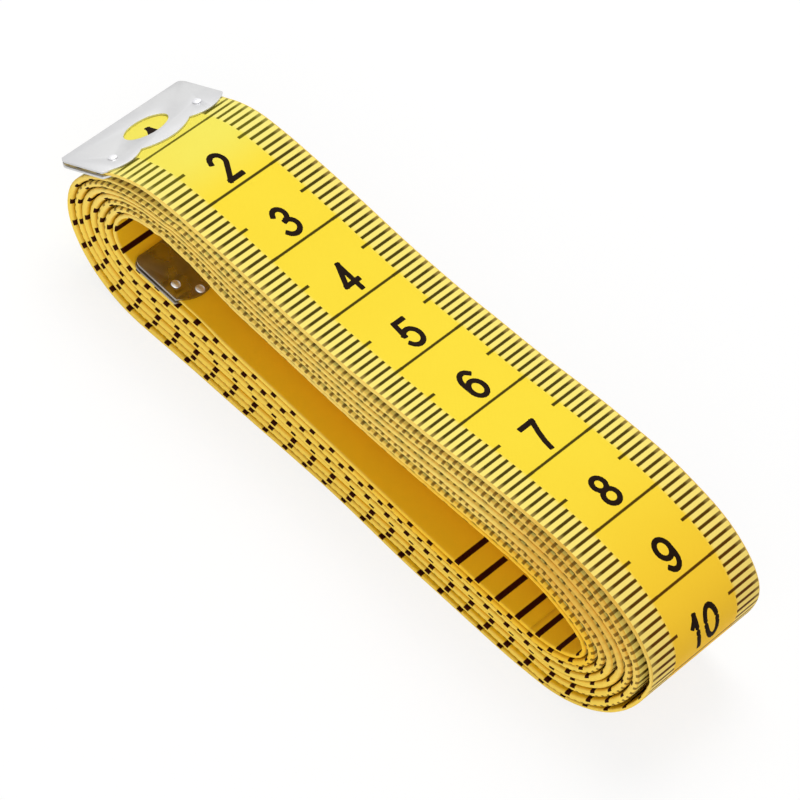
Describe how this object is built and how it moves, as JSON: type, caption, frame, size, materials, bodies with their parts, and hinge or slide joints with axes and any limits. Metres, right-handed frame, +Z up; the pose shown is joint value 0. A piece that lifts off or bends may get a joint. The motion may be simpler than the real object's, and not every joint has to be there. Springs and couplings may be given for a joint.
{
  "type": "cloth tape measure",
  "caption": "Printed cloth tape wound flat into an oblong coil, with a folded metal clip on each end and a see-through space in the middle.",
  "frame": {"origin": "middle of the part's length and width, on the surface that the coil lies on", "axes": "+X along the coil, away from the outer clip; +Y across the tape, away from its front edge; +Z up"},
  "size_m": [0.0938, 0.021, 0.0212],
  "materials": {
    "tape": "coated cloth, satin, printed in dark ink",
    "clip": "satin plated sheet",
    "rivet": "bright plated"
  },
  "bodies": {
    "coil": {"tape_coil": "tape"},
    "outer_end": {"tape_outer_end": "tape", "outer_end_clip": "clip", "outer_clip_rivet_front": "rivet", "outer_clip_rivet_back": "rivet"},
    "inner_end": {"tape_inner_end": "tape", "inner_end_clip": "clip", "inner_clip_rivet_front_outer": "rivet", "inner_clip_rivet_front_inner": "rivet", "inner_clip_rivet_back_outer": "rivet", "inner_clip_rivet_back_inner": "rivet"}
  },
  "joints": [
    {"name": "outer_end_lift", "type": "hinge", "parent": "coil", "child": "outer_end", "pos_m": [-0.01906, 0, 0.01896], "axis": [0, 1, 0], "range_deg": [0, 60]},
    {"name": "inner_end_lift", "type": "hinge", "parent": "coil", "child": "inner_end", "pos_m": [0.01932, 0, 0.00609], "axis": [0, 1, 0], "range_deg": [0, 4]}
  ]
}
